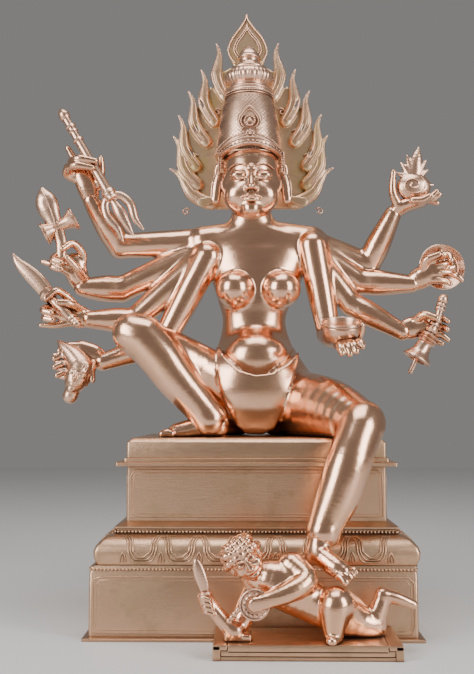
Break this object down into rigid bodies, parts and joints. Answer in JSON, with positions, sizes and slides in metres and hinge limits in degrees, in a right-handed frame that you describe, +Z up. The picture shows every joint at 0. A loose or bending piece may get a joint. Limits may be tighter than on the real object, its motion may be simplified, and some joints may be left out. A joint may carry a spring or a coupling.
{
  "type": "seated goddess statue",
  "caption": "Polished bronze statue of an eight-armed goddess with a flame aureole, seated on a two-tier lotus pedestal with one foot over a fallen demon held in a keyed tray.",
  "frame": {"origin": "centre of the pedestal's underside, on the surface it stands on", "axes": "+Z up; the figure faces -Y, towards the demon's tray; +X is the figure's left, the right of the front view"},
  "size_m": [0.6009, 0.3967, 0.826],
  "materials": {
    "pedestal": "cast bronze, brushed and dulled",
    "seat_slab": "cast bronze, brushed and dulled",
    "goddess": "cast bronze, polished, with dark recesses",
    "demon": "cast bronze, polished, with dark recesses"
  },
  "bodies": {
    "root": {"pedestal": "pedestal", "seat_slab": "seat_slab", "goddess": "goddess", "demon": "demon"}
  },
  "joints": []
}
